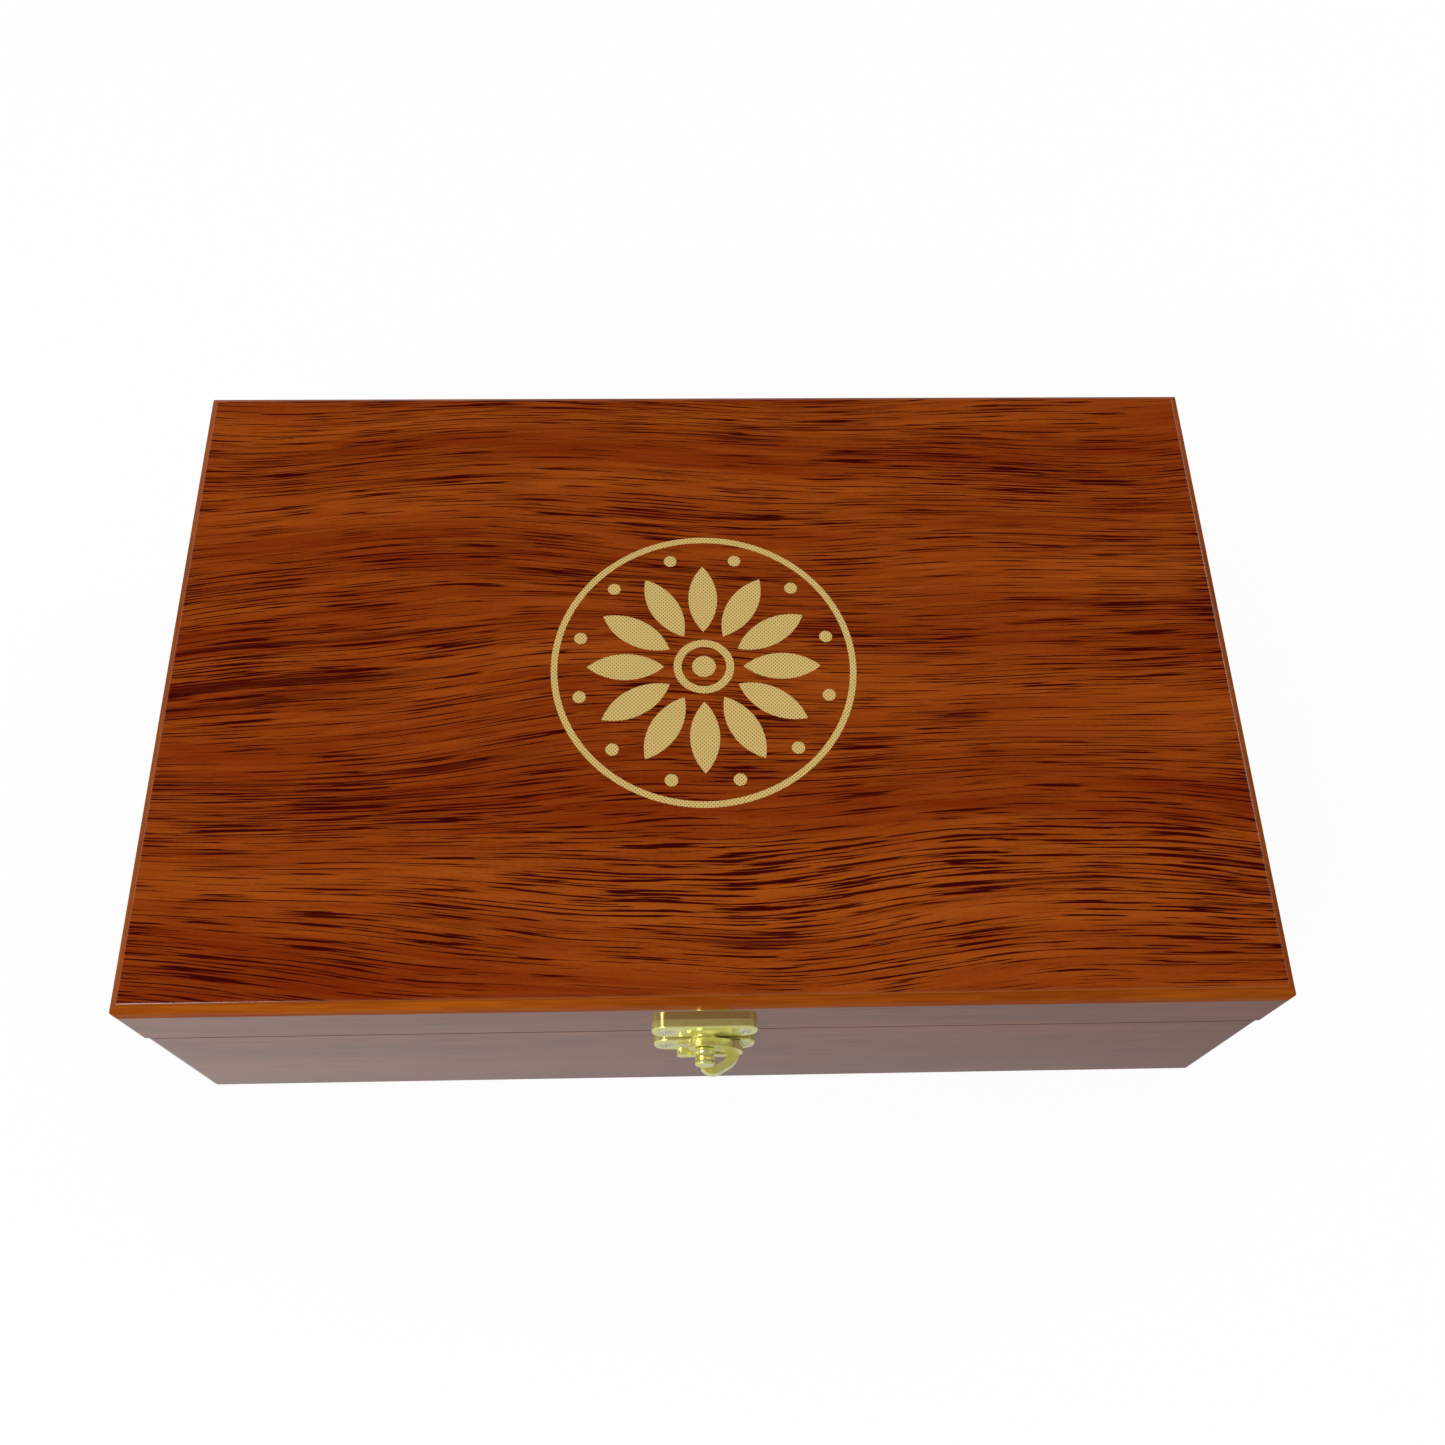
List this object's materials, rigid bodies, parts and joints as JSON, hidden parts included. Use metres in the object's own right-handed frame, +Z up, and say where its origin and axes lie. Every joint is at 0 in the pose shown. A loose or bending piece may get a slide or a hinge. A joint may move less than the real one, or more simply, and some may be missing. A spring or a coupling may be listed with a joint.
{
  "type": "hinged keepsake case",
  "caption": "Rectangular lacquered wooden keepsake case with a hinged bevelled lid, an inlaid gold rosette, brass stop hinges, a swing-hook catch and a velvet lining.",
  "frame": {"origin": "middle of the underside, on the surface the case stands on", "axes": "+Z up, the catch faces -Y, the hinges are on the +Y side, +X to the right seen from the catch"},
  "size_m": [0.3, 0.2088, 0.087],
  "materials": {
    "top_veneer": "high-gloss clear lacquer over dark-streaked orange-brown veneer",
    "lacquered_edge": "gloss lacquer on an orange stained edge",
    "side_veneer": "high-gloss clear lacquer over veneer",
    "bottom_board": "bare fibreboard",
    "felt": "pressed felt",
    "gold_inlay": "fine hatched matt gold",
    "velvet": "short pile velvet over card and thin foam",
    "hinge_brass": "satin",
    "hinge_pin_brass": "satin",
    "brass_screw": "polished",
    "polished_gold_brass": "polished plating"
  },
  "bodies": {
    "base": {"base_back_wall": "side_veneer", "base_bottom_board": "bottom_board", "base_felt_underside": "felt", "base_floor_pad": "velvet", "base_front_wall": "side_veneer", "base_hinge_leaf_left": "hinge_brass", "base_hinge_leaf_right": "hinge_brass", "base_hinge_screws": "brass_screw", "base_left_wall": "side_veneer", "base_lining_back": "velvet", "base_lining_front": "velvet", "base_lining_left": "velvet", "base_lining_right": "velvet", "base_right_wall": "side_veneer", "catch_keeper_pin": "polished_gold_brass", "catch_keeper_plate": "polished_gold_brass", "catch_keeper_screws": "brass_screw", "hinge_pins": "hinge_pin_brass"},
    "lid": {"catch_lid_plate": "polished_gold_brass", "catch_lid_screws": "brass_screw", "catch_post_knob": "polished_gold_brass", "lid_back_skirt": "side_veneer", "lid_front_skirt": "side_veneer", "lid_hinge_leaf_left": "hinge_brass", "lid_hinge_leaf_right": "hinge_brass", "lid_hinge_screws": "brass_screw", "lid_left_skirt": "side_veneer", "lid_lining_back": "velvet", "lid_lining_front": "velvet", "lid_lining_left": "velvet", "lid_lining_right": "velvet", "lid_pad": "velvet", "lid_right_skirt": "side_veneer", "lid_rosette_inlay": "gold_inlay", "lid_top_board": "lacquered_edge", "lid_top_veneer": "top_veneer"},
    "hook": {"catch_hook": "polished_gold_brass"}
  },
  "joints": [
    {"name": "lid_hinge", "type": "hinge", "parent": "base", "child": "lid", "pos_m": [0, 0.0985, 0.06], "axis": [-1, 0, 0], "range_deg": [0, 95]},
    {"name": "hook_swing", "type": "hinge", "parent": "lid", "child": "hook", "pos_m": [-0.0011, -0.0998, 0.06], "axis": [0, -1, 0], "range_deg": [0, 110]}
  ]
}
